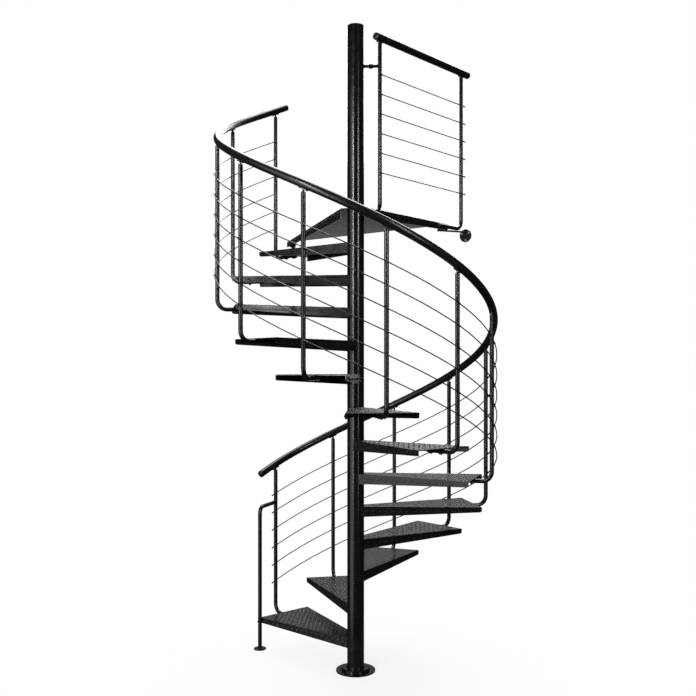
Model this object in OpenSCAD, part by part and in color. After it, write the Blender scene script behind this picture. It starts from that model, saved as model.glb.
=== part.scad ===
// Spiral staircase: treads on a round column, a wedge-shaped landing with its
// own guard, bent tube balusters, a helical handrail and six infill rods.
// Millimetres, +Z up. The origin is on the column's axis at floor level.
// The stair climbs clockwise, seen from above.

/* [Stair] */
// Diameter of the stair, outside the handrail
stair_d = 1790; // [1500:10:2200]
// Height of one riser
riser = 210; // [180:1:240]
// Number of treads below the landing
treads = 13; // [10:1:13]
// Turn from one tread to the next, in degrees
step_a = 30; // [26:0.5:32]
// Direction of the first tread's centre line, in degrees
start_a = 135; // [0:1:360]

/* [Column] */
// Outer diameter of the inner pole
pole_d = 88.9; // [76:0.1:100]
// Wall of the inner pole
pole_wall = 4; // [3:0.5:6]
// Outer diameter of the sleeves and tread hubs
sleeve_d = 108; // [104:1:130]
// Radial clearance between the pole and what slides over it
slide_gap = 0.3; // [0.2:0.1:1]
// Height of the first sleeve above the landing
collar_h = 183; // [120:1:260]
// Height of the column's top above the landing
newel_h = 1180; // [1140:5:1300]
// Height of the domed cap on the column
newel_cap_h = 18; // [8:1:30]

/* [Base] */
// Diameter of the base plate
base_d = 250; // [230:5:320]
// Thickness of the base plate
base_t = 10; // [8:1:16]
// Diameter of the raised ring under the column
ring_d = 178; // [150:2:190]
// Height of the raised ring
ring_h = 15; // [8:1:25]
// Diameter of the anchor holes
anchor_d = 14; // [10:1:18]
// Diameter of the anchor holes' circle
anchor_pcd = 214; // [205:1:224]

/* [Treads] */
// Distance from the tread's outer edge to the balusters' circle
edge_gap = 100; // [60:1:130]
// Half the tread's width at the column's axis
tread_root = 38; // [30:1:50]
// How far each long edge of a tread reaches past half a step
nose_lap = 4; // [0:1:20]
// Depth of the tread's folded edge at the column
hub_h = 66; // [56:1:80]
// Depth of the tread's folded edge at its outer end
tip_h = 32; // [28:1:40]
// Thickness of the sheet in treads and landing
sheet = 4; // [3:0.5:6]
// Width of the lip folded under each long edge
lip_w = 14; // [8:1:20]
// Radius of the folded edge's lower corner at the tread's outer end
tip_round = 12; // [4:1:18]

/* [Balusters] */
// Outer diameter of a baluster tube
bal_d = 26.9; // [21:0.1:34]
// Height of a baluster's top above its tread
bal_h = 993; // [850:1:1100]
// Bend radius of a baluster's foot, on the centre line
bend_r = 60; // [45:1:80]
// Gap between the tread's plate and the leg under it
leg_gap = 0.8; // [0.5:0.1:16]
// Length of the leg under the tread
leg_in = 130; // [110:5:200]
// Clearance between a tube and what it is clamped to
seat_gap = 0.3; // [0.1:0.1:1]

/* [Handrail] */
// Outer diameter of the handrail
rail_d = 48.3; // [38:0.1:60]
// Reach of the handrail below the first baluster, in degrees
low_over = 9; // [4:0.5:12]
// Reach of the handrail above the last baluster, in degrees
high_over = 6; // [3:0.5:10]
// Height of the neck between a baluster and its saddle
neck_h = 14; // [8:1:24]
// Diameter of that neck
neck_d = 12; // [8:1:16]
// Length of a saddle under the handrail
saddle_l = 62; // [40:1:80]
// Width of a saddle
saddle_w = 24; // [16:1:30]
// Thickness of a saddle
saddle_t = 4; // [3:0.5:6]

/* [Rods] */
// Number of infill rods
rods = 6; // [4:1:6]
// Diameter of an infill rod
rod_d = 7; // [5:0.5:10]
// Drop from a baluster's top to the first rod
rod_top = 175; // [120:1:220]
// Height between rods
rod_step = 125; // [90:1:130]
// Reach of the rods past the end balusters, in degrees
rod_over = 1.2; // [0.9:0.1:3]

/* [Starter post] */
// Distance from the tread's outer edge in to the starter post
starter_in = 22; // [16:1:60]
// Height of the arm from the starter post to the first baluster
arm_z = 974; // [800:1:1060]
// Bend radius of that arm
arm_bend = 42; // [30:1:60]
// Diameter of the starter post's foot
foot_d = 84; // [60:1:110]
// Thickness of the starter post's foot
foot_t = 8; // [5:1:12]

/* [Landing] */
// Direction of the side where the stair arrives, in degrees
arrival_a = 111.5; // [105:0.5:120]
// Direction of the side that carries the guard, in degrees
guard_a = 51.5; // [45:0.5:58]
// Distance from the column's axis to each side
land_side = 104; // [100:1:120]
// Length of the side where the stair arrives
arrival_l = 1500; // [1100:10:1600]
// Length of the side that carries the guard
guard_l = 845; // [760:5:900]
// Depth of the landing's folded sides at their outer ends
land_tip_h = 40; // [36:1:60]

/* [Landing guard] */
// Distance of the inner post along the landing's side
post_in = 100; // [90:1:140]
// Distance of the outer post past the landing's corner
post_out = 138; // [110:1:200]
// Height of the posts above the landing
post_h = 1061; // [900:1:1120]
// Drop from the landing's top to the centre of a post's leg
post_drop = 23; // [18:1:28]
// Length of the outer post's leg beside the landing
post_leg = 120; // [80:1:200]
// Height of the lowest guard rod above the landing
guard_rod_z = 228; // [180:1:260]
// Neck between a guard post and its saddle
guard_neck = 6; // [4:0.5:12]
// Reach of the guard rail past the inner post
guard_over_in = 50; // [35:1:70]
// Reach of the guard rail past the outer post
guard_over_out = 90; // [40:1:120]
// Height of the tie from the column to the inner post, above the landing
tie_h = 912; // [860:1:990]
// Diameter of that tie
tie_d = 20; // [14:1:26]

/* [Wall flanges] */
// Distance from the landing's outer edge to the face of the wall
wall_gap = 164; // [162:1:220]
// Distance from the landing's corner out to the flange's centre
flange_out = 54; // [50:1:120]
// Drop from the landing's top to the flange's centre
flange_drop = 66; // [62:1:75]
// Diameter of a wall flange
flange_d = 92; // [84:1:94]
// Thickness of a wall flange
flange_t = 8; // [6:1:10]
// Diameter of the flange holes' circle
flange_pcd = 64; // [60:1:68]
// Diameter of a flange hole
flange_hole = 9; // [7:0.5:10]
// Thickness of the arm that carries a flange
arm_t = 8; // [6:1:9]
// Width of that arm
arm_w = 30; // [20:1:32]
// Width of the cleat under the landing's edge that holds the arm
cleat_w = 60; // [50:1:100]

/* [Hidden] */
pole_r = pole_d / 2;
sleeve_r = sleeve_d / 2;
bal_r = bal_d / 2;
rail_r = rail_d / 2;
rod_r = rod_d / 2;
leg_drop = sheet + leg_gap + bal_r;
bal_circle = stair_d / 2 - rail_r;
land_z = (treads + 1) * riser;
newel_top = land_z + newel_h - newel_cap_h;

tread_l = bal_circle - edge_gap;
tread_end = tread_l * tan(step_a / 2) + nose_lap;
edge_a = atan((tread_end - tread_root) / tread_l);
edge_len = tread_l / cos(edge_a);
back_rim = 6;
lug_t = 8;
lug_w = 36;
lug_rim = 3;
lug_at = [25, 105];

climb_a = atan(riser / (bal_circle * step_a * PI / 180));
saddle_dist = rail_r + seat_gap + saddle_t / 2;
rail_h = bal_h + neck_h + saddle_dist / cos(climb_a);
last_turn = (treads - 1) * step_a;
mm_per_deg = bal_circle * PI / 180 / cos(climb_a);
rod_circle = bal_circle + bal_r + rod_r + seat_gap;

land_a = (arrival_a + guard_a) / 2;
land_half = (arrival_a - guard_a) / 2;
land_back = -sleeve_r - back_rim;
side_start = along_side(land_back);
guard_corner = side_point(guard_l, -1);
arrival_corner = side_point(arrival_l, 1);
edge_run = arrival_corner - guard_corner;
out_a = atan2(edge_run[1], edge_run[0]) - 90;
out_dist = guard_corner[0] * cos(out_a) + guard_corner[1] * sin(out_a);
guard_y = -(land_side + seat_gap + bal_r);
post_far = guard_l + post_out;
guard_rail_z = post_h + guard_neck + saddle_dist;

round_fn = 64;
tube_fn = 32;
rail_sides = 24;
rod_sides = 8;
rail_turn = 3;
rod_turn = 5;
chamfer = 3;
cap_steps = 4;
tip_steps = 6;

black = [0.09, 0.09, 0.1];
plate_black = [0.13, 0.13, 0.14];
rail_black = [0.07, 0.07, 0.08];

function two_digits(k) = str(k < 10 ? "0" : "", k);
function tread_name(k) = str("tread_", two_digits(k));
function baluster_name(k) = str("baluster_", two_digits(k));

// ---- Where the stair is after a turn of t degrees from the first tread

function facing(t) = start_a - t;
function rise(t) = riser * (1 + t / step_a);
function turn_of(k) = (k - 1) * step_a;

function rot2(a, p) = [p[0] * cos(a) - p[1] * sin(a), p[0] * sin(a) + p[1] * cos(a)];

// ---- Where the landing's sides are, in its own frame, where +X halves their angle

// How far along a side its points at x are
function along_side(x) = (x + land_side * sin(land_half)) / cos(land_half);

// The point l along the side where the stair arrives (s = 1) or with the guard (s = -1)
function side_point(l, s) =
    [l * cos(land_half) - land_side * sin(land_half),
     s * (l * sin(land_half) + land_side * cos(land_half))];

// Places its children in the frame of tread k: +X along the tread, z = 0 on its top
module at_tread(k) {
    translate([0, 0, k * riser]) rotate([0, 0, facing(turn_of(k))]) children();
}

// The landing's frame: +X halfway between its sides, z = 0 on its top
module at_landing() {
    translate([0, 0, land_z]) rotate([0, 0, land_a]) children();
}

// The frame of the landing's outer edge: +X straight out over the edge
module at_edge() {
    at_landing() rotate([0, 0, out_a]) children();
}

// The guard's frame: +X outward along the landing's side, z = 0 on the landing's top
module at_guard() {
    translate([0, 0, land_z]) rotate([0, 0, guard_a]) children();
}

// ---- General shapes

module tube(d, bore, h) {
    difference() {
        cylinder(d = d, h = h, $fn = round_fn);
        translate([0, 0, -1]) cylinder(d = bore, h = h + 2, $fn = round_fn);
    }
}

module disc_with_holes(d, t, pcd, hole, n, first_a) {
    difference() {
        cylinder(d = d, h = t, $fn = round_fn);
        for (i = [0:n - 1])
            rotate([0, 0, first_a + i * 360 / n]) translate([pcd / 2, 0, -1])
                cylinder(d = hole, h = t + 2, $fn = tube_fn);
    }
}

// A round bar along +X from x0 to x1
module bar_x(r, x0, x1) {
    translate([x0, 0, 0]) rotate([0, 90, 0]) cylinder(r = r, h = x1 - x0, $fn = tube_fn);
}

// A quarter bend in the XZ plane: from a bar that comes along X to x = 0, z = 0
// up into a bar along Z at x = bend
module bend_up(r, bend) {
    translate([0, 0, bend]) rotate([90, 0, 0]) rotate([0, 0, -90])
        rotate_extrude(angle = 90, $fn = round_fn)
            translate([bend, 0]) circle(r = r, $fn = tube_fn);
}

// An upright bar from z0 to z1 with a chamfered top
module upright(r, z0, z1) {
    rotate_extrude($fn = tube_fn)
        polygon([[0, z0], [r, z0], [r, z1 - chamfer], [r - chamfer, z1], [0, z1]]);
}

// A baluster tube bent once: its leg comes along X at z = 0, and its upright stands
// on x = 0 and ends at z = top
module bent_tube(leg, bend, top) {
    translate([-bend, 0, 0]) {
        mirror([1, 0, 0]) bar_x(bal_r, 0, leg);
        bend_up(bal_r, bend);
    }
    upright(bal_r, bend, top);
}

// A flat pad with round ends, centred on the origin, along X
module pad(l, w, t) {
    translate([0, 0, -t / 2]) {
        translate([-(l - w) / 2, -w / 2, 0]) cube([l - w, w, t]);
        for (s = [-1, 1]) translate([s * (l - w) / 2, 0, 0])
            cylinder(d = w, h = t, $fn = tube_fn);
    }
}

// A folded edge that hangs from z = 0 along +X, h0 deep at x = 0 and h1 at x = l,
// with its outer face at y = 0 and its lip turned towards -Y. Its far lower corner is
// rounded by tip
module folded_edge(l, h0, h1, tip) {
    lip_t = sheet / cos(atan((h0 - h1) / l));
    lip_h = h1 + (h0 - h1) * tip / l;
    corner = [for (i = [0:tip_steps]) let (q = i * 90 / tip_steps)
        [l - tip * (1 - cos(q)), tip * (1 - sin(q)) - h1]];
    rotate([90, 0, 0]) linear_extrude(sheet)
        polygon(concat([[0, 0], [l, 0]], tip > 0 ? corner : [[l, -h1]], [[0, -h0]]));
    rotate([90, 0, 0]) linear_extrude(lip_w)
        polygon([[0, -h0], [l - tip, -lip_h], [l - tip, lip_t - lip_h], [0, lip_t - h0]]);
}

// ---- Helical bars

function helix_point(t, circle_r, h) =
    [circle_r * cos(facing(t)), circle_r * sin(facing(t)), rise(t) + h];

function helix_ring(t, circle_r, h, r, sides) =
    let (
        out = [cos(facing(t)), sin(facing(t)), 0],
        run = circle_r * PI / 180,
        ahead = [run * sin(facing(t)), -run * cos(facing(t)), riser / step_a],
        along = ahead / norm(ahead),
        up = cross(out, along),
        mid = helix_point(t, circle_r, h)
    )
    [for (j = [0:sides - 1])
        mid + r * (cos(j * 360 / sides) * out + sin(j * 360 / sides) * up)];

// Skins a list of rings, each a list of the same number of points
module skin(rings) {
    n = len(rings[0]);
    m = len(rings);
    sides = [for (i = [0:m - 2]) for (j = [0:n - 1])
        [i * n + j, (i + 1) * n + j, (i + 1) * n + (j + 1) % n, i * n + (j + 1) % n]];
    polyhedron(
        points = [for (ring = rings) for (p = ring) p],
        faces = concat([[for (j = [0:n - 1]) j]], sides,
                       [[for (j = [n - 1:-1:0]) (m - 1) * n + j]])
    );
}

// A helical bar of radius r from turn t0 to t1, its ends domed by dome degrees of turn
module helix_bar(t0, t1, circle_r, h, r, sides, turn, dome) {
    n = ceil((t1 - t0) / turn);
    low = [for (i = [cap_steps - 1:-1:1]) let (q = i * 90 / cap_steps)
        [t0 - dome * sin(q), r * cos(q)]];
    body = [for (i = [0:n]) [t0 + (t1 - t0) * i / n, r]];
    high = [for (i = [1:cap_steps - 1]) let (q = i * 90 / cap_steps)
        [t1 + dome * sin(q), r * cos(q)]];
    stations = dome > 0 ? concat(low, body, high) : body;
    skin([for (s = stations) helix_ring(s[0], circle_r, h, s[1], sides)]);
}

// ---- Column

module base_plate() {
    color(black) {
        disc_with_holes(base_d, base_t, anchor_pcd, anchor_d, 4, 45);
        translate([0, 0, base_t]) tube(ring_d, pole_d + 2 * slide_gap, ring_h);
    }
}

module centre_pole() {
    color(black) translate([0, 0, base_t])
        tube(pole_d, pole_d - 2 * pole_wall, newel_top - base_t);
}

module sleeve(z0, z1) {
    translate([0, 0, z0]) tube(sleeve_d, pole_d + 2 * slide_gap, z1 - z0);
}

// One sleeve under each tread and the landing, and the collar above the landing
module spacer_sleeves() {
    color(black) {
        sleeve(base_t + ring_h, riser - hub_h);
        for (k = [1:treads]) sleeve(k * riser, (k + 1) * riser - hub_h);
        sleeve(land_z, land_z + collar_h);
    }
}

module newel_post() {
    color(black) sleeve(land_z + collar_h, newel_top);
}

module newel_cap() {
    rim = 6;
    dome_r = (sleeve_r * sleeve_r + (newel_cap_h - rim) * (newel_cap_h - rim))
           / (2 * (newel_cap_h - rim));
    dome_a = asin(sleeve_r / dome_r);
    color(black) translate([0, 0, newel_top])
        rotate_extrude($fn = round_fn)
            polygon(concat([[0, 0], [sleeve_r, 0]],
                [for (i = [0:8]) let (q = dome_a * (1 - i / 8))
                    [dome_r * sin(q), newel_cap_h - dome_r + dome_r * cos(q)]]));
}

// ---- Treads

module hub() {
    translate([0, 0, -hub_h]) tube(sleeve_d, pole_d + 2 * slide_gap, hub_h);
}

// Clears the hub's place out of a plate, and trims the plate's outer end at x = l
module trim_plate(l, w) {
    translate([0, 0, -hub_h - 1]) {
        cylinder(r = sleeve_r - 1, h = hub_h + 2, $fn = round_fn);
        translate([l, -w, 0]) cube([sheet + lip_w, 2 * w, hub_h + 2]);
    }
}

// A plate under the tread with a hole for the baluster's leg
module leg_lug(x) {
    depth = leg_drop + bal_r + lug_rim;
    difference() {
        translate([x - lug_t / 2, -lug_w / 2, -depth]) cube([lug_t, lug_w, depth - sheet]);
        translate([0, 0, -leg_drop]) bar_x(bal_r + seat_gap, x - lug_t, x + lug_t);
    }
}

module tread(k) {
    color(plate_black) at_tread(k) {
        difference() {
            union() {
                translate([0, 0, -sheet]) linear_extrude(sheet)
                    polygon([[0, tread_root], [tread_l, tread_end],
                             [tread_l, -tread_end], [0, -tread_root]]);
                for (s = [0, 1]) mirror([0, s, 0])
                    translate([0, tread_root, 0]) rotate([0, 0, edge_a])
                        folded_edge(edge_len, hub_h, tip_h, tip_round);
            }
            trim_plate(tread_l, tread_end + lip_w);
        }
        hub();
        for (d = lug_at) leg_lug(tread_l - d);
    }
}

// ---- Landing

// The sheets run past the outer edge and the back, and are cut off straight there.
// The plate's sides end halfway into the folded edges' sheet
module landing() {
    past = 30;
    inset = [0, sheet / 2 / cos(land_half)];
    start = side_start - past;
    color(plate_black) at_landing() {
        difference() {
            union() {
                translate([0, 0, -sheet]) linear_extrude(sheet)
                    polygon([side_point(start, 1) - inset, side_point(arrival_l + past, 1) - inset,
                             side_point(guard_l + past, -1) + inset, side_point(start, -1) + inset]);
                rotate([0, 0, land_half]) translate([start, land_side, 0])
                    folded_edge(arrival_l - start + past, hub_h, land_tip_h, 0);
                mirror([0, 1, 0]) rotate([0, 0, land_half]) translate([start, land_side, 0])
                    folded_edge(guard_l - start + past, hub_h, land_tip_h, 0);
            }
            translate([0, 0, -hub_h - 1]) {
                cylinder(r = sleeve_r - 1, h = hub_h + 2, $fn = round_fn);
                rotate([0, 0, out_a]) translate([out_dist, -arrival_l, 0])
                    cube([2 * past, 2 * arrival_l, hub_h + 2]);
                translate([land_back - 2 * past, -2 * land_side, 0])
                    cube([2 * past, 4 * land_side, hub_h + 2]);
            }
        }
        hub();
    }
}

// ---- Railing on the stair

module baluster(k) {
    color(black) at_tread(k) translate([bal_circle, 0, -leg_drop])
        bent_tube(edge_gap + leg_in - bend_r, bend_r, leg_drop + bal_h);
}

// The neck on a baluster's top and the sloping saddle that meets the handrail
module rail_saddle(k) {
    t = turn_of(k);
    translate(helix_point(t, bal_circle, bal_h))
        cylinder(d = neck_d, h = neck_h, $fn = tube_fn);
    translate(helix_point(t, bal_circle, rail_h)) rotate([0, 0, facing(t) - 90])
        rotate([0, -climb_a, 0])
            translate([-saddle_dist * tan(climb_a), 0, -saddle_dist])
                pad(saddle_l, saddle_w, saddle_t);
}

module rail_saddles() {
    color(black) for (k = [1:treads]) rail_saddle(k);
}

module handrail() {
    color(rail_black)
        helix_bar(-low_over, last_turn + high_over, bal_circle, rail_h,
                  rail_r, rail_sides, rail_turn, 10 / mm_per_deg);
}

module infill_rods() {
    color(rail_black) for (i = [0:rods - 1])
        helix_bar(-rod_over, last_turn + rod_over, rod_circle,
                  bal_h - rod_top - i * rod_step, rod_r, rod_sides, rod_turn, 0);
}

// ---- Starter post, clamped to the first tread's front corner

starter_x = tread_l - starter_in;
starter_y = tread_root + starter_x * tan(edge_a) + (bal_r + seat_gap) / cos(edge_a);
arm_len = norm([bal_circle - starter_x, starter_y]);
arm_a = atan2(-starter_y, bal_circle - starter_x);

module at_starter() {
    rotate([0, 0, facing(0)]) translate([starter_x, starter_y, 0]) children();
}

module starter_post() {
    color(black) at_starter() translate([0, 0, arm_z])
        rotate([0, 0, arm_a + 180]) mirror([0, 0, 1])
            bent_tube(arm_len - arm_bend - bal_r - seat_gap, arm_bend, arm_z - foot_t);
}

module starter_foot() {
    color(black) at_starter() cylinder(d = foot_d, h = foot_t, $fn = round_fn);
}

// ---- Landing guard

module guard_post(x, leg) {
    color(black) at_guard() translate([x, guard_y, -post_drop])
        bent_tube(leg, bend_r, post_drop + post_h);
}

module guard_post_inner() {
    guard_post(post_in, post_in - bend_r - side_start);
}

module guard_post_outer() {
    guard_post(post_far, post_out - bend_r + post_leg);
}

module guard_saddles() {
    color(black) at_guard() for (x = [post_in, post_far]) translate([x, guard_y, post_h]) {
        cylinder(d = neck_d, h = guard_neck, $fn = tube_fn);
        translate([0, 0, guard_neck]) pad(saddle_l, saddle_w, saddle_t);
    }
}

// A straight round rail along +X with domed ends
module domed_rail(x0, x1, r, dome) {
    translate([x0, 0, 0]) rotate([0, 90, 0]) rotate_extrude($fn = tube_fn)
        polygon(concat(
            [for (i = [0:cap_steps]) let (q = i * 90 / cap_steps)
                [r * sin(q), dome * (1 - cos(q))]],
            [for (i = [cap_steps:-1:0]) let (q = i * 90 / cap_steps)
                [r * sin(q), x1 - x0 - dome * (1 - cos(q))]]));
}

module guard_handrail() {
    color(rail_black) at_guard() translate([0, guard_y, guard_rail_z])
        domed_rail(post_in - guard_over_in, post_far + guard_over_out, rail_r, 10);
}

module guard_rods() {
    past = 25;
    y = guard_y - bal_r - seat_gap - rod_r;
    color(rail_black) at_guard() for (i = [0:rods - 1])
        translate([0, y, guard_rod_z + i * rod_step])
            bar_x(rod_r, post_in - past, post_far + past);
}

// The short tie from the column to the guard's inner post, with its coupling
module guard_tie() {
    post = [post_in, guard_y];
    reach = norm(post);
    tie_len = reach - bal_r - sleeve_r - 2 * seat_gap;
    coupling_l = 26;
    color(black) at_guard() rotate([0, 0, atan2(guard_y, post_in)])
        translate([sleeve_r + seat_gap, 0, tie_h]) {
            bar_x(tie_d / 2, 0, tie_len);
            bar_x(tie_d / 2 + 5, (tie_len - coupling_l) / 2, (tie_len + coupling_l) / 2);
        }
}

// ---- Wall flanges beyond the landing's outer corners

// Room that a side's folded lip takes along the outer edge, when they meet at 90 - a
function lip_clear(a) = (lip_w + 4) / cos(a) + 4;

// A cleat under the landing's edge, an arm out of it and a flange for the wall. The
// corner is at y = corner and the arm leans away from the landing, towards out = 1 or -1.
// It runs below the outer post's leg
module wall_flange(corner, out, clear) {
    cleat_t = 6;
    arm_top = post_drop + bal_r + seat_gap;
    cleat_y = corner - out * (clear + cleat_w / 2);
    centre_y = corner + out * flange_out;
    face = out_dist + wall_gap - flange_t;
    half_y = arm_w / 2 / cos(atan((centre_y - cleat_y) / (face - out_dist)));
    translate([face, centre_y, -flange_drop]) rotate([0, 90, 0])
        disc_with_holes(flange_d, flange_t, flange_pcd, flange_hole, 3, 0);
    translate([0, 0, -arm_top - arm_t]) linear_extrude(arm_t)
        polygon([[out_dist, cleat_y - half_y], [face, centre_y - half_y],
                 [face, centre_y + half_y], [out_dist, cleat_y + half_y]]);
    translate([out_dist - cleat_t, cleat_y - cleat_w / 2, -arm_top - arm_t])
        cube([cleat_t, cleat_w, arm_top + arm_t - sheet]);
}

module wall_flanges() {
    in_edge = rot2(-out_a, guard_corner);
    far_edge = rot2(-out_a, arrival_corner);
    color(black) at_edge() {
        wall_flange(in_edge[1], -1, lip_clear(land_half + out_a));
        wall_flange(far_edge[1], 1, lip_clear(land_half - out_a));
    }
}

// ---- Nodes

base_plate();
centre_pole();
spacer_sleeves();
newel_post();
newel_cap();
for (k = [1:treads]) tread(k);
landing();
wall_flanges();
for (k = [1:treads]) baluster(k);
rail_saddles();
handrail();
infill_rods();
starter_post();
starter_foot();
guard_post_inner();
guard_post_outer();
guard_saddles();
guard_handrail();
guard_rods();
guard_tie();
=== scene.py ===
import math
import random

import bmesh
import bpy
from mathutils import Matrix, Vector


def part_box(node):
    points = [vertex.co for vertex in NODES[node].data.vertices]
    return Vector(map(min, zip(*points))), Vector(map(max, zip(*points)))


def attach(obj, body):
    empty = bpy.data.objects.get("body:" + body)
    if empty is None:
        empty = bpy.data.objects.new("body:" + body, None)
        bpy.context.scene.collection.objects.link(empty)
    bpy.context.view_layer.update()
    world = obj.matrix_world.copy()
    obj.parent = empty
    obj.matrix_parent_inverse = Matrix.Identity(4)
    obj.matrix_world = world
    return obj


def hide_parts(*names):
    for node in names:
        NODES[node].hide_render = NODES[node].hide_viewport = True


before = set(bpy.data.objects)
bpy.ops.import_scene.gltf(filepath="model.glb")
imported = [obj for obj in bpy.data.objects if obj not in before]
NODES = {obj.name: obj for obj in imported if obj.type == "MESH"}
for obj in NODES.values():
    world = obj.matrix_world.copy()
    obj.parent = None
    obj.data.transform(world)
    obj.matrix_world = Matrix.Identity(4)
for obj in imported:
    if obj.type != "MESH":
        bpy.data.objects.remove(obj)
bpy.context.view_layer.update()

# ---- Sizes and places, in metres and degrees, as in the CAD model

TREADS = sum(name.startswith("tread_") for name in NODES)
FIRST_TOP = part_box("tread_01")[1].z
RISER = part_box("tread_02")[1].z - FIRST_TOP
LAND_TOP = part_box("landing")[1].z
SLEEVE_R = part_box("newel_post")[1].x

START_A = 135.0
STEP_A = 30.0
STAIR_R = 0.895
RAIL_R = 0.02415
BAL_R = 0.01345
ROD_R = 0.0035
SEAT_GAP = 0.0003
BAL_CIRCLE = STAIR_R - RAIL_R
ROD_CIRCLE = BAL_CIRCLE + BAL_R + ROD_R + SEAT_GAP
LAST_TURN = (TREADS - 1) * STEP_A

BAL_H = 0.993
NECK_R = 0.006
NECK_H = 0.014
SADDLE_T = 0.004
SADDLE_DIST = RAIL_R + SEAT_GAP + SADDLE_T / 2
GUARD_NECK = 0.006
CLIMB = math.atan(RISER / (BAL_CIRCLE * math.radians(STEP_A)))
RAIL_H = BAL_H + NECK_H + SADDLE_DIST / math.cos(CLIMB)
LOW_OVER = 9.0
HIGH_OVER = 6.0

RODS = 6
ROD_TOP = 0.175
ROD_STEP = 0.125
ROD_OVER = 1.2

EDGE_GAP = 0.100
NOSE_LAP = 0.004
TREAD_L = BAL_CIRCLE - EDGE_GAP
TREAD_ROOT = 0.038
TREAD_END = TREAD_L * math.tan(math.radians(STEP_A / 2)) + NOSE_LAP
EDGE_A = math.atan((TREAD_END - TREAD_ROOT) / TREAD_L)
EDGE_LEN = TREAD_L / math.cos(EDGE_A)
HUB_H = 0.066
TIP_H = 0.032
SHEET = 0.004
LEG_GAP = 0.0008
LEG_DROP = SHEET + LEG_GAP + BAL_R
LEG_IN = 0.130
LUG_AT = (0.025, 0.105)
LUG_RIM = 0.003
LUG_BOTTOM = LEG_DROP + BAL_R + LUG_RIM

ARRIVAL_A = 111.5
GUARD_A = 51.5
LAND_A = (ARRIVAL_A + GUARD_A) / 2
LAND_HALF = math.radians((ARRIVAL_A - GUARD_A) / 2)
LAND_SIDE = 0.104
ARRIVAL_L = 1.500
GUARD_L = 0.845
LAND_TIP_H = 0.040
LAND_PAST = 0.030
BACK_RIM = 0.006
LAND_BACK = -SLEEVE_R - BACK_RIM
SIDE_START = (LAND_BACK + LAND_SIDE * math.sin(LAND_HALF)) / math.cos(LAND_HALF)


def side_point(length, side):
    """The point that far along the landing's arrival side (1) or guard side (-1)."""
    return Vector((length * math.cos(LAND_HALF) - LAND_SIDE * math.sin(LAND_HALF),
                   side * (length * math.sin(LAND_HALF) + LAND_SIDE * math.cos(LAND_HALF)), 0))


edge_run = side_point(ARRIVAL_L, 1) - side_point(GUARD_L, -1)
OUT_A = math.atan2(edge_run.y, edge_run.x) - math.pi / 2
OUT_WAY = Vector((math.cos(OUT_A), math.sin(OUT_A), 0))
OUT_DIST = OUT_WAY.dot(side_point(GUARD_L, -1))

GUARD_Y = -(LAND_SIDE + SEAT_GAP + BAL_R)
POST_IN = 0.100
POST_OUT = 0.138
POST_FAR = GUARD_L + POST_OUT
POST_H = 1.061
POST_DROP = 0.023
POST_LEG = 0.120
GUARD_ROD_Z = 0.228
GUARD_ROD_PAST = 0.025

BASE_T = 0.010
RING_R = 0.089
RING_TOP = 0.025
ANCHOR_R = 0.107

WALL_GAP = 0.164
WALL_FACE = OUT_DIST + WALL_GAP
FLANGE_OUT = 0.054
FLANGE_DROP = 0.066
FLANGE_T = 0.008
FLANGE_PC_R = 0.032

TIE_H = 0.912
COUPLING_R = 0.015
ARM_Z = 0.974
STARTER_X = TREAD_L - 0.022
STARTER_Y = (TREAD_ROOT + STARTER_X * math.tan(EDGE_A)
             + (BAL_R + SEAT_GAP) / math.cos(EDGE_A))
FOOT_T = 0.008

rng = random.Random(7)


def facing(turn):
    return START_A - turn


def turn_of(k):
    return (k - 1) * STEP_A


def move(x, y, z):
    return Matrix.Translation((x, y, z))


def turn_z(degrees):
    return Matrix.Rotation(math.radians(degrees), 4, "Z")


def at_tread(k):
    return move(0, 0, k * RISER) @ turn_z(facing(turn_of(k)))


def at_landing():
    return move(0, 0, LAND_TOP) @ turn_z(LAND_A)


def at_edge():
    return at_landing() @ turn_z(math.degrees(OUT_A))


def at_guard():
    return move(0, 0, LAND_TOP) @ turn_z(GUARD_A)


def helix_point(turn, circle_r, h):
    a = math.radians(facing(turn))
    return Vector((circle_r * math.cos(a), circle_r * math.sin(a),
                   RISER * (1 + turn / STEP_A) + h))


def pointing(place, direction):
    """A frame at place whose Z axis points along direction."""
    return Matrix.Translation(place) @ Vector(direction).to_track_quat("Z", "Y").to_matrix().to_4x4()


# ---- Materials

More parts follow.
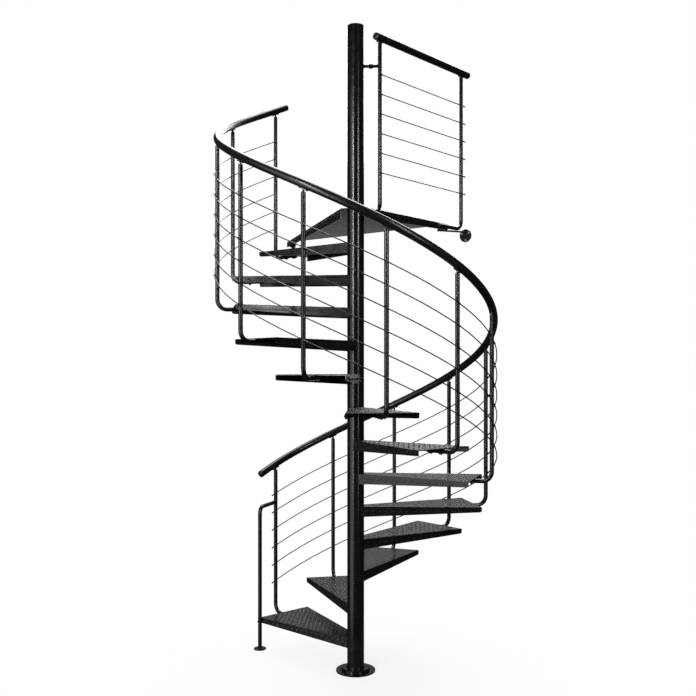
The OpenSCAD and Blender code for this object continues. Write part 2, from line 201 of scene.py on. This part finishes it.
def coat(name, colour, rough, dust=0.0, grain=0.25, wear=0.0):
    """Powder coat: orange-peel bump, uneven sheen, a trace of dust on top faces, worn edges."""
    m = bpy.data.materials.new(name)
    m.use_nodes = True
    nodes, links = m.node_tree.nodes, m.node_tree.links
    shader = nodes["Principled BSDF"]
    shader.inputs["Specular IOR Level"].default_value = 0.5
    shader.inputs["Coat Weight"].default_value = 0.15
    shader.inputs["Coat Roughness"].default_value = 0.12
    place = nodes.new("ShaderNodeTexCoord")

    def noise(scale, detail=3.0):
        n = nodes.new("ShaderNodeTexNoise")
        n.inputs["Scale"].default_value = scale
        n.inputs["Detail"].default_value = detail
        links.new(place.outputs["Object"], n.inputs["Vector"])
        return n.outputs["Fac"]

    def spread(value, low, high, to_low, to_high):
        n = nodes.new("ShaderNodeMapRange")
        for socket, number in zip(("From Min", "From Max", "To Min", "To Max"),
                                  (low, high, to_low, to_high)):
            n.inputs[socket].default_value = number
        links.new(value, n.inputs["Value"])
        return n.outputs["Result"]

    def blend(factor, first, second):
        n = nodes.new("ShaderNodeMix")
        n.data_type = "RGBA"
        links.new(factor, n.inputs["Factor"])
        for socket, value in (("A", first), ("B", second)):
            sockets = [s for s in n.inputs if s.name == socket and s.type == "RGBA"]
            if isinstance(value, tuple):
                sockets[0].default_value = (*value, 1)
            else:
                links.new(value, sockets[0])
        return [s for s in n.outputs if s.type == "RGBA"][0]

    def times(a, b):
        n = nodes.new("ShaderNodeMath")
        n.operation = "MULTIPLY"
        links.new(a, n.inputs[0])
        if isinstance(b, float):
            n.inputs[1].default_value = b
        else:
            links.new(b, n.inputs[1])
        return n.outputs[0]

    lighter = tuple(c * 1.7 + 0.003 for c in colour)
    base = blend(spread(noise(5.0), 0.35, 0.7, 0, 1), colour, lighter)
    base = blend(spread(noise(420.0, 1.0), 0.62, 0.75, 0, grain), base, tuple(c * 2.4 for c in lighter))
    geometry = nodes.new("ShaderNodeNewGeometry")
    if wear:
        edge = times(spread(geometry.outputs["Pointiness"], 0.55, 0.65, 0, wear),
                     spread(noise(60.0), 0.4, 0.65, 0, 1))
        base = blend(edge, base, (0.10, 0.10, 0.105))
    if dust:
        split = nodes.new("ShaderNodeSeparateXYZ")
        links.new(geometry.outputs["Normal"], split.inputs[0])
        up = spread(split.outputs["Z"], 0.75, 1.0, 0, dust)
        base = blend(times(up, spread(noise(14.0, 6.0), 0.35, 0.75, 0.2, 1)), base, (0.11, 0.108, 0.105))
    links.new(base, shader.inputs["Base Color"])
    links.new(spread(noise(24.0, 5.0), 0.3, 0.7, rough - 0.05, rough + 0.08), shader.inputs["Roughness"])
    bump = nodes.new("ShaderNodeBump")
    bump.inputs["Strength"].default_value = 0.03
    bump.inputs["Distance"].default_value = 0.00005
    links.new(noise(650.0, 2.0), bump.inputs["Height"])
    links.new(bump.outputs["Normal"], shader.inputs["Normal"])
    return m


def plated(name, colour, rough):
    """Zinc-plated steel: bright, a little patchy."""
    m = coat(name, colour, rough, grain=0.1)
    shader = m.node_tree.nodes["Principled BSDF"]
    shader.inputs["Metallic"].default_value = 1.0
    shader.inputs["Coat Weight"].default_value = 0.0
    return m


COLUMN = coat("column_coat", (0.0030, 0.0030, 0.0032), 0.20, grain=0.06)
TUBE = coat("tube_coat", (0.0035, 0.0035, 0.0037), 0.22, grain=0.06)
PLATE = coat("plate_coat", (0.0045, 0.0045, 0.0047), 0.20, dust=0.06, grain=0.08, wear=0.2)
RAIL = coat("rail_coat", (0.0045, 0.0045, 0.0047), 0.28, dust=0.03, grain=0.06)
ROD = coat("rod_coat", (0.0040, 0.0040, 0.0042), 0.18, grain=0.05)
ZINC = plated("zinc", (0.42, 0.42, 0.43), 0.32)
BLACK_ZINC = plated("black_zinc", (0.06, 0.06, 0.065), 0.35)
PLASTIC = coat("plug_plastic", (0.012, 0.012, 0.012), 0.45)


# ---- Mesh building

class Shape:
    """Collects closed shapes and turns them into one piece."""

    def __init__(self):
        self.bm = bmesh.new()

    def rings(self, rings):
        """Skins closed rings of points and caps both ends."""
        made = [[self.bm.verts.new(p) for p in ring] for ring in rings]
        n = len(made[0])
        for a, b in zip(made, made[1:]):
            for i in range(n):
                self.bm.faces.new((a[i], a[(i + 1) % n], b[(i + 1) % n], b[i]))
        self.bm.faces.new(made[0][::-1])
        self.bm.faces.new(made[-1])

    def lathe(self, place, profile, n=24):
        """Turns (radius, height) points round the Z axis of place."""
        self.rings([[place @ Vector((r * math.cos(2 * math.pi * i / n),
                                     r * math.sin(2 * math.pi * i / n), z)) for i in range(n)]
                    for r, z in profile])

    def torus(self, place, big, small, n=48, sides=8, ripple=0.0):
        """A ring round Z, rippled like a weld bead if asked."""
        made = []
        for i in range(n):
            a = 2 * math.pi * i / n
            r = small * (1 + ripple * rng.uniform(-1, 1))
            made.append([self.bm.verts.new(place @ Vector((
                (big + r * math.cos(b)) * math.cos(a), (big + r * math.cos(b)) * math.sin(a),
                r * math.sin(b)))) for b in (2 * math.pi * j / sides for j in range(sides))])
        for i in range(n):
            a, b = made[i], made[(i + 1) % n]
            for j in range(sides):
                self.bm.faces.new((a[j], b[j], b[(j + 1) % sides], a[(j + 1) % sides]))

    def bead(self, start, end, r, pitch=0.004, sides=8):
        """A straight weld bead with ripples."""
        start, end = Vector(start), Vector(end)
        n = max(4, round((end - start).length / pitch))
        turn = (end - start).to_track_quat("Z", "Y").to_matrix()
        rings = []
        for i in range(n + 1):
            size = r * (0.45 if i in (0, n) else rng.uniform(0.82, 1.12))
            mid = start.lerp(end, i / n)
            rings.append([mid + turn @ Vector((size * math.cos(a), size * math.sin(a), 0))
                          for a in (2 * math.pi * j / sides for j in range(sides))])
        self.rings(rings)

    def build(self, name, material, slot=None, smooth=35, replaces=()):
        bmesh.ops.recalc_face_normals(self.bm, faces=self.bm.faces)
        mesh = bpy.data.meshes.new(name)
        self.bm.to_mesh(mesh)
        self.bm.free()
        mesh.materials.append(material)
        mesh.shade_smooth()
        mesh.set_sharp_from_angle(angle=math.radians(smooth))
        piece = bpy.data.objects.new(name, mesh)
        bpy.context.scene.collection.objects.link(piece)
        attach(piece, "root")
        if replaces:
            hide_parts(*replaces)
        return piece


def washer(shape, place, r, t=0.0016):
    shape.lathe(place, [(r - 0.0004, 0), (r, 0.0004), (r, t - 0.0004), (r - 0.0004, t)], 24)


def hex_bolt(shape, place, flats=0.013, head=0.0055, washer_r=0.008):
    """A hexagon head on its washer, its seat at the origin of place and facing +Z."""
    washer(shape, place, washer_r)
    r = flats / math.sqrt(3)
    z = 0.0016
    shape.lathe(place, [(r, z), (r, z + head * 0.82), (r * 0.86, z + head)], 6)


def pan_screw(shape, place, r=0.004, h=0.0024):
    """A domed screw head with a hexagon recess."""
    profile = [(r, 0), (r, h * 0.35)]
    profile += [(r * math.cos(q), h * (0.35 + 0.65 * math.sin(q)))
                for q in (math.radians(30), math.radians(58))]
    profile += [(r * 0.42, h), (r * 0.36, h * 0.5)]
    shape.lathe(place, profile, 18)


# ---- CAD bodies with their edges broken

FOLD_R = 0.0034
EDGE_BREAK = 0.0008
FOLD_ANGLE = 1.2
SHARP_ANGLE = 0.6
LONG_EDGE = 0.5


def softened(node, material, slot, fold=None):
    """Stands for a CAD node with its edges broken, and with rounded folds if fold is given.

    fold is the height of the plate's top and the way that its cut, unfolded edge faces.
    """
    bm = bmesh.new()
    bm.from_mesh(NODES[node].data)
    bmesh.ops.remove_doubles(bm, verts=bm.verts, dist=2e-6)
    bmesh.ops.dissolve_limit(bm, angle_limit=math.radians(0.5), verts=bm.verts, edges=bm.edges)
    if fold:
        top, cut_way = fold
        folds = [e for e in bm.edges
                 if len(e.link_faces) == 2 and e.calc_face_angle(0) > FOLD_ANGLE
                 and all(abs(v.co.z - top) < 1e-4 for v in e.verts) and e.calc_length() > LONG_EDGE
                 and not any(f.normal.dot(cut_way) > 0.99 for f in e.link_faces)]
        bmesh.ops.bevel(bm, geom=folds, offset=FOLD_R, segments=4, profile=0.5,
                        affect="EDGES", clamp_overlap=True)
    sharp = [e for e in bm.edges if len(e.link_faces) == 2 and e.calc_face_angle(0) > SHARP_ANGLE]
    bmesh.ops.bevel(bm, geom=sharp, offset=EDGE_BREAK, segments=2, profile=0.5,
                    affect="EDGES", clamp_overlap=True)
    shape = Shape()
    shape.bm = bm
    piece = shape.build(node + "_finished", material, slot, replaces=(node,))
    even = piece.modifiers.new("even", "WEIGHTED_NORMAL")
    even.keep_sharp = True
    return piece


for name in NODES:
    if name.startswith("tread_"):
        softened(name, PLATE, "tread_black", (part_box(name)[1].z, Vector()))
softened("landing", PLATE, "tread_black", (LAND_TOP, at_landing().to_3x3() @ OUT_WAY))
softened("base_plate", COLUMN, "column_black")
softened("spacer_sleeves", COLUMN, "column_black")
softened("newel_post", COLUMN, "column_black")
softened("wall_flanges", TUBE, "tube_black")
softened("starter_foot", TUBE, "tube_black")
softened("rail_saddles", TUBE, "tube_black")
softened("guard_saddles", TUBE, "tube_black")

for name, node in NODES.items():
    if name in ("centre_pole", "newel_cap"):
        finish = COLUMN
    elif name == "guard_handrail":
        finish = RAIL
    elif name == "guard_rods":
        finish = ROD
    else:
        finish = TUBE
    for held in node.material_slots:
        held.material = finish


# ---- Chequered plate

PITCH = 0.0215
LOZENGE_L = 0.0245
LOZENGE_W = 0.0078
LOZENGE_H = 0.0020


def lozenge(shape, place, angle):
    """One raised lens-shaped bar of the chequer pattern."""
    outline = [(LOZENGE_L / 2 * x, LOZENGE_W / 2 * y) for x, y in (
        (1, 0), (0.55, 0.7), (0, 1), (-0.55, 0.7), (-1, 0), (-0.55, -0.7), (0, -1), (0.55, -0.7))]
    frame_of = place @ Matrix.Rotation(angle, 4, "Z")
    shape.rings([[frame_of @ Vector((x * size, y * size, z)) for x, y in outline]
                 for size, z in ((1.0, -0.0003), (0.92, 0.0007), (0.68, LOZENGE_H * 0.8), (0.3, LOZENGE_H))])


def chequer(shape, place, x0, x1, low, high, keep):
    """Fills the area between low(x) and high(x) with alternating lozenges."""
    for i in range(math.ceil(x0 / PITCH), math.floor(x1 / PITCH) + 1):
        x = i * PITCH
        for j in range(math.ceil(low(x) / PITCH), math.floor(high(x) / PITCH) + 1):
            y = j * PITCH
            if keep(x, y):
                lozenge(shape, place @ move(x, y, 0), math.radians(45 if (i + j) % 2 else -45))


RIM = 0.010
CLEAR_R = SLEEVE_R + 0.013


def off_column(x, y):
    return math.hypot(x, y) > CLEAR_R


for k in range(1, TREADS + 1):
    shape = Shape()
    half = lambda x: TREAD_ROOT + x * math.tan(EDGE_A) - RIM
    chequer(shape, at_tread(k), 0, TREAD_L - RIM, lambda x: -half(x), half, off_column)
    for side in (1, -1):
        down = (at_tread(k) @ Matrix.Diagonal((1, side, 1, 1)) @ move(0, TREAD_ROOT, 0)
                @ Matrix.Rotation(EDGE_A, 4, "Z") @ Matrix.Rotation(math.radians(-90), 4, "X"))
        depth = lambda x: HUB_H + (TIP_H - HUB_H) * x / EDGE_LEN - RIM
        chequer(shape, down @ move(0, PITCH / 4, 0), 0.035, EDGE_LEN - 0.020,
                lambda x: RIM - PITCH / 4, lambda x: depth(x) - PITCH / 4, lambda x, y: True)
    shape.build(f"tread_{k:02d}_chequer", PLATE, "tread_black", 25)

shape = Shape()
half = lambda x: (LAND_SIDE - RIM + x * math.sin(LAND_HALF)) / math.cos(LAND_HALF)
inside = lambda x, y: off_column(x, y) and OUT_WAY.dot((x, y, 0)) < OUT_DIST - RIM
chequer(shape, at_landing(), LAND_BACK + RIM, side_point(ARRIVAL_L, 1).x, lambda x: -half(x), half, inside)
for side, length in ((1, ARRIVAL_L), (-1, GUARD_L)):
    down = (at_landing() @ Matrix.Diagonal((1, side, 1, 1)) @ Matrix.Rotation(LAND_HALF, 4, "Z")
            @ move(0, LAND_SIDE, 0) @ Matrix.Rotation(math.radians(-90), 4, "X"))
    slope = (LAND_TIP_H - HUB_H) / (length - SIDE_START + 2 * LAND_PAST)
    depth = lambda x: HUB_H + slope * (x - SIDE_START + LAND_PAST) - RIM
    beside_leg = lambda x, y: side > 0 or 0.05 < x < GUARD_L - POST_LEG - 0.012
    chequer(shape, down, SIDE_START + RIM, length - 0.020, lambda x: RIM, depth, beside_leg)
shape.build("landing_chequer", PLATE, "tread_black", 25)


# ---- Handrail and rods

def along_helix(turn, circle_r):
    """Outward, up and forward directions of the helix there."""
    a = math.radians(facing(turn))
    out = Vector((math.cos(a), math.sin(a), 0))
    run = circle_r * math.radians(1)
    ahead = Vector((run * math.sin(a), -run * math.cos(a), RISER / STEP_A)).normalized()
    return out, out.cross(ahead), ahead


def helix_ring(turn, circle_r, h, r, sides):
    out, up, _ = along_helix(turn, circle_r)
    mid = helix_point(turn, circle_r, h)
    return [mid + r * (math.cos(a) * out + math.sin(a) * up)
            for a in (2 * math.pi * j / sides for j in range(sides))]


def helix_bar(shape, t0, t1, circle_r, h, r, sides, step, dome):
    """A helical bar with domed ends."""
    per_degree = circle_r * math.radians(1) / math.cos(CLIMB)
    steps = 5
    ends = [(dome / per_degree * math.sin(q), r * math.cos(q))
            for q in (math.radians(90) * i / (steps + 0.4) for i in range(1, steps + 1))]
    n = math.ceil((t1 - t0) / step)
    stations = [(t0 - back, size) for back, size in reversed(ends)]
    stations += [(t0 + (t1 - t0) * i / n, r) for i in range(n + 1)]
    stations += [(t1 + out, size) for out, size in ends]
    shape.rings([helix_ring(t, circle_r, h, size, sides) for t, size in stations])


shape = Shape()
helix_bar(shape, -LOW_OVER, LAST_TURN + HIGH_OVER, BAL_CIRCLE, RAIL_H, RAIL_R, 40, 1.5, 0.0098)
shape.build("handrail_finished", RAIL, "rail_black", 50, ("handrail",))

rod_heights = [BAL_H - ROD_TOP - i * ROD_STEP for i in range(RODS)]
shape = Shape()
for h in rod_heights:
    helix_bar(shape, -ROD_OVER, LAST_TURN + ROD_OVER, ROD_CIRCLE, h, ROD_R, 12, 2.0, 0.0015)
shape.build("infill_rods_finished", ROD, "rod_black", 50, ("infill_rods",))

# A clip holds each rod to each baluster: a sleeve round the rod and a screw through its middle
shape = Shape()
screws = Shape()
CLIP_R = ROD_R + 0.0014
clip = [(ROD_R, -0.0055), (CLIP_R, -0.005), (CLIP_R, 0.005), (ROD_R, 0.0055)]
for k in range(1, TREADS + 1):
    for h in rod_heights:
        t = turn_of(k)
        out, _, ahead = along_helix(t, ROD_CIRCLE)
        at = helix_point(t, ROD_CIRCLE, h)
        shape.lathe(pointing(at, ahead), clip, 16)
        pan_screw(screws, pointing(at + out * (CLIP_R - 0.0004), out), 0.0036, 0.0022)
rod_y = GUARD_Y - BAL_R - SEAT_GAP - ROD_R
for x in (POST_IN, POST_FAR):
    for i in range(RODS):
        at = at_guard() @ Vector((x, rod_y, GUARD_ROD_Z + i * ROD_STEP))
        along = at_guard().to_3x3() @ Vector((1, 0, 0))
        out = at_guard().to_3x3() @ Vector((0, -1, 0))
        shape.lathe(pointing(at, along), clip, 16)
        pan_screw(screws, pointing(at + out * (CLIP_R - 0.0004), out), 0.0036, 0.0022)
shape.build("rod_clips", TUBE, "tube_black", 40)
screws.build("rod_clip_screws", BLACK_ZINC, None, 40)

# Small acorn knobs close the rods' ends
shape = Shape()
KNOB = [(0.0036, -0.009), (0.0050, -0.0082), (0.0052, -0.003), (0.0044, 0.0), (0.0024, 0.0014)]
for h in rod_heights:
    for t, way in ((-ROD_OVER, -1), (LAST_TURN + ROD_OVER, 1)):
        out, _, ahead = along_helix(t, ROD_CIRCLE)
        at = helix_point(t, ROD_CIRCLE, h) + ahead * way * 0.0016
        shape.lathe(pointing(at, ahead * way), KNOB, 16)
for i in range(RODS):
    for x, way in ((POST_IN - GUARD_ROD_PAST, -1), (POST_FAR + GUARD_ROD_PAST, 1)):
        at = at_guard() @ Vector((x, rod_y, GUARD_ROD_Z + i * ROD_STEP))
        along = at_guard().to_3x3() @ Vector((way, 0, 0))
        shape.lathe(pointing(at, along), KNOB, 16)
shape.build("rod_knobs", TUBE, "tube_black", 40)

# ---- Fasteners

wall_screws = Shape()
coated = Shape()
dark = Shape()
plugs = Shape()
welds = Shape()

PLUG = [(BAL_R * 0.92, -0.001), (BAL_R * 0.98, 0.0005), (BAL_R * 0.9, 0.0022), (BAL_R * 0.5, 0.0032)]
BOLT_DROP = 0.0175

for k in range(1, TREADS + 1):
    base = at_tread(k)
    for d in LUG_AT:
        # Clamp screw under each lug, and a bolt through each folded edge beside it
        hex_bolt(coated, base @ move(TREAD_L - d, 0, -LUG_BOTTOM) @ Matrix.Rotation(math.pi, 4, "X"),
                 0.008, 0.0035, 0.0052)
        for side in (1, -1):
            flip = base @ Matrix.Diagonal((1, side, 1, 1))
            y = TREAD_ROOT + (TREAD_L - d) * math.tan(EDGE_A)
            at = flip @ Vector((TREAD_L - d, y, -BOLT_DROP))
            normal = flip.to_3x3() @ Vector((-math.sin(EDGE_A), math.cos(EDGE_A), 0))
            hex_bolt(coated, pointing(at, normal), 0.010, 0.004, 0.0070)
    inner = base @ Vector((TREAD_L - LEG_IN, 0, -LEG_DROP))
    plugs.lathe(pointing(inner, base.to_3x3() @ Vector((-1, 0, 0))), PLUG, 24)
    for side in (1, -1):
        # The folded edges meet the hub in upright fillet welds
        a = 1 + math.tan(EDGE_A) ** 2
        b = 2 * TREAD_ROOT * math.tan(EDGE_A)
        c = TREAD_ROOT ** 2 - (SLEEVE_R + 0.0008) ** 2
        x = (-b + math.sqrt(b * b - 4 * a * c)) / (2 * a)
        y = TREAD_ROOT + x * math.tan(EDGE_A)
        flip = base @ Matrix.Diagonal((1, side, 1, 1))
        welds.bead(flip @ Vector((x, y, -0.006)), flip @ Vector((x, y, -HUB_H + 0.003)), 0.0028)
    # Neck welds on the baluster's top
    t = turn_of(k)
    welds.torus(Matrix.Translation(helix_point(t, BAL_CIRCLE, BAL_H)), NECK_R + 0.0004, 0.0016, 28, 6, 0.12)

# Two screws fix each saddle to the rail from below
SCREW_AT = 0.021
SCREW_SINK = 0.0002
for k in range(1, TREADS + 1):
    t = turn_of(k)
    seat = (Matrix.Translation(helix_point(t, BAL_CIRCLE, RAIL_H)) @ turn_z(facing(t) - 90)
            @ Matrix.Rotation(-CLIMB, 4, "Y"))
    for way in (-1, 1):
        at = seat @ move(-SADDLE_DIST * math.tan(CLIMB) + way * SCREW_AT, 0,
                         -SADDLE_DIST - SADDLE_T / 2 + SCREW_SINK)
        pan_screw(dark, at @ Matrix.Rotation(math.pi, 4, "X"), 0.0045, 0.0026)
for x in (POST_IN, POST_FAR):
    seat = at_guard() @ move(x, GUARD_Y, POST_H)
    welds.torus(seat, NECK_R + 0.0004, 0.0016, 28, 6, 0.12)
    for way in (-1, 1):
        at = seat @ move(way * SCREW_AT, 0, GUARD_NECK - SADDLE_T / 2 + SCREW_SINK)
        pan_screw(dark, at @ Matrix.Rotation(math.pi, 4, "X"), 0.0045, 0.0026)

# The guard posts' legs are bolted through into the landing's side
leg_bolts = (0.024, 0.0, GUARD_L - 0.030, GUARD_L - 0.094)
outward = at_guard().to_3x3() @ Vector((0, -1, 0))
for x in leg_bolts:
    at = at_guard() @ Vector((x, GUARD_Y - BAL_R + 0.0008, -POST_DROP))
    hex_bolt(coated, pointing(at, outward), 0.010, 0.0045, 0.0066)
for x, way in ((SIDE_START, -1), (GUARD_L - POST_LEG, -1)):
    at = at_guard() @ Vector((x, GUARD_Y, -POST_DROP))
    plugs.lathe(pointing(at, at_guard().to_3x3() @ Vector((way, 0, 0))), PLUG, 24)

# The tie's welds on the column, and its two coupling screws
tie_a = math.degrees(math.atan2(GUARD_Y, POST_IN))
tie_len = math.hypot(POST_IN, GUARD_Y) - BAL_R - SLEEVE_R
tie = at_guard() @ turn_z(tie_a) @ move(SLEEVE_R, 0, TIE_H)
along = tie.to_3x3() @ Vector((1, 0, 0))
welds.torus(pointing(tie @ Vector((0.0012, 0, 0)), along), 0.0102, 0.0022, 32, 6, 0.15)
welds.torus(pointing(tie @ Vector((tie_len - 0.0006, 0, 0)), along), 0.0100, 0.0020, 32, 6, 0.15)
for way in (-1, 1):
    at = tie @ Vector((tie_len / 2 + way * 0.007, 0, 0.0004 - COUPLING_R))
    pan_screw(dark, pointing(at, (0, 0, -1)), 0.0035, 0.0022)

# A bolt clamps the starter post to the first tread's corner, and a weld holds its arm
first = at_tread(1)
out = first.to_3x3() @ Vector((-math.sin(EDGE_A), math.cos(EDGE_A), 0))
post = first @ Vector((STARTER_X, STARTER_Y, -BOLT_DROP))
hex_bolt(coated, pointing(post + out * (BAL_R - 0.0008), out), 0.013, 0.0055, 0.0075)
floor_post = turn_z(facing(0)) @ Vector((STARTER_X, STARTER_Y, 0))
welds.torus(Matrix.Translation(floor_post + Vector((0, 0, FOOT_T + 0.0004))), BAL_R + 0.0008, 0.0026,
            40, 6, 0.12)
arm_way = Vector((STARTER_X - BAL_CIRCLE, STARTER_Y, 0)).normalized()
arm_end = Vector((BAL_CIRCLE, 0, ARM_Z)) + arm_way * (BAL_R + 0.0006)
welds.torus(pointing(turn_z(facing(0)) @ arm_end, turn_z(facing(0)).to_3x3() @ arm_way),
            BAL_R * 0.97, 0.0022, 40, 6, 0.12)

# Flush screws close the base plate's anchor holes
for i in range(4):
    at = turn_z(45 + 90 * i) @ move(ANCHOR_R, 0, BASE_T)
    coated.lathe(at @ move(0, 0, -0.004), [(0.0066, 0), (0.0066, 0.003), (0.0060, 0.0035), (0.0030, 0.0035),
                                           (0.0026, 0.0010)], 24)
welds.torus(move(0, 0, BASE_T + 0.0006), RING_R + 0.0006, 0.0032, 120, 8, 0.12)
welds.torus(move(0, 0, RING_TOP + 0.0006), SLEEVE_R + 0.0008, 0.0034, 90, 8, 0.12)

# Wall flange screws
inward = at_edge().to_3x3() @ Vector((-1, 0, 0))
for side, length in ((1, ARRIVAL_L), (-1, GUARD_L)):
    corner = turn_z(-math.degrees(OUT_A)) @ side_point(length, side)
    for i in range(3):
        a = math.radians(180 + 120 * i)
        at = at_edge() @ Vector((WALL_FACE - FLANGE_T,
                                 corner.y + side * FLANGE_OUT + FLANGE_PC_R * math.sin(a),
                                 -FLANGE_DROP + FLANGE_PC_R * math.cos(a)))
        washer(wall_screws, pointing(at, inward), 0.0082)
        pan_screw(wall_screws, pointing(at + inward * 0.0014, inward), 0.0066, 0.0042)

wall_screws.build("wall_screws", ZINC, None, 30)
coated.build("coated_bolts", TUBE, "tube_black", 30)
dark.build("saddle_screws", BLACK_ZINC, None, 30)
plugs.build("tube_plugs", PLASTIC, "tube_black", 40)
welds.build("weld_beads", TUBE, "tube_black", 60)

# ---- Stage, light and camera

bpy.context.scene.view_settings.view_transform = "Standard"

floor_r = 6.0
shape = bmesh.new()
bmesh.ops.create_circle(shape, cap_ends=True, segments=96, radius=floor_r)
floor_mesh = bpy.data.meshes.new("floor")
shape.to_mesh(floor_mesh)
shape.free()
floor = bpy.data.objects.new("floor", floor_mesh)
bpy.context.scene.collection.objects.link(floor)
pale = bpy.data.materials.new("floor_white")
pale.use_nodes = True
tree = pale.node_tree
tree.nodes.clear()
sheet = tree.nodes.new("ShaderNodeBsdfDiffuse")
sheet.inputs["Color"].default_value = (0.9, 0.9, 0.9, 1)
clear = tree.nodes.new("ShaderNodeBsdfTransparent")
mixed = tree.nodes.new("ShaderNodeMixShader")
where = tree.nodes.new("ShaderNodeTexCoord")
span = tree.nodes.new("ShaderNodeVectorMath")
span.operation = "LENGTH"
fade = tree.nodes.new("ShaderNodeMapRange")
fade.inputs["From Min"].default_value = 0.15
fade.inputs["From Max"].default_value = 1.4
fade.inputs["To Min"].default_value = 0.14
fade.inputs["To Max"].default_value = 0.0
end = tree.nodes.new("ShaderNodeOutputMaterial")
tree.links.new(where.outputs["Object"], span.inputs[0])
tree.links.new(span.outputs["Value"], fade.inputs["Value"])
tree.links.new(fade.outputs["Result"], mixed.inputs["Fac"])
tree.links.new(clear.outputs[0], mixed.inputs[1])
tree.links.new(sheet.outputs[0], mixed.inputs[2])
tree.links.new(mixed.outputs[0], end.inputs["Surface"])
floor_mesh.materials.append(pale)

world = bpy.data.worlds.new("studio")
bpy.context.scene.world = world
world.use_nodes = True
tree = world.node_tree
tree.nodes.clear()
seen = tree.nodes.new("ShaderNodeBackground")
seen.inputs["Strength"].default_value = 1.0
fill = tree.nodes.new("ShaderNodeBackground")
fill.inputs["Strength"].default_value = 0.03
ray = tree.nodes.new("ShaderNodeLightPath")
mixed = tree.nodes.new("ShaderNodeMixShader")
end = tree.nodes.new("ShaderNodeOutputWorld")
for background in (seen, fill):
    background.inputs["Color"].default_value = (1, 1, 1, 1)
tree.links.new(ray.outputs["Is Camera Ray"], mixed.inputs["Fac"])
tree.links.new(fill.outputs[0], mixed.inputs[1])
tree.links.new(seen.outputs[0], mixed.inputs[2])
tree.links.new(mixed.outputs[0], end.inputs["Surface"])


def softbox(name, azimuth, distance, height, width, tall, power, aim=2.0):
    """An area light round the stair. Azimuth 0 is the camera's side and 90 its right."""
    data = bpy.data.lights.new(name, "AREA")
    data.shape = "RECTANGLE"
    data.size, data.size_y = width, tall
    data.energy = power
    lamp = bpy.data.objects.new(name, data)
    a = math.radians(azimuth)
    lamp.visible_camera = False
    lamp.location = (distance * math.sin(a), -distance * math.cos(a), height)
    look = Vector((0, 0, aim)) - lamp.location
    lamp.rotation_euler = look.to_track_quat("-Z", "Y").to_euler()
    bpy.context.scene.collection.objects.link(lamp)


softbox("strip_left", -30, 5.5, 3.9, 0.26, 2.2, 116)
softbox("strip_right", 40, 5.5, 3.9, 0.20, 2.2, 67)
softbox("low_strip_left", -30, 5.5, 1.6, 0.26, 2.4, 34)
softbox("low_strip_right", 40, 5.5, 1.6, 0.20, 2.4, 16)
softbox("soft_left", -50, 5.2, 2.0, 4.6, 6.5, 105)
softbox("behind", 180, 6.5, 3.4, 4.4, 3.6, 12, aim=1.0)
softbox("high_behind", 180, 4.4, 5.8, 5.0, 3.4, 300, aim=1.0)
softbox("overhead", 180, 1.2, 7.5, 4.0, 2.6, 260, aim=1.0)

CAMERA_AT = Vector((0.382, -5.460, 1.919))
view = bpy.data.cameras.new("camera")
view.lens = 44.4
view.sensor_width = 36.0
view.shift_x = -0.011
view.shift_y = 0.031
camera = bpy.data.objects.new("camera", view)
camera.location = CAMERA_AT
camera.rotation_euler = (math.radians(90), 0, math.atan2(CAMERA_AT.x, -CAMERA_AT.y))
bpy.context.scene.collection.objects.link(camera)
bpy.context.scene.camera = camera
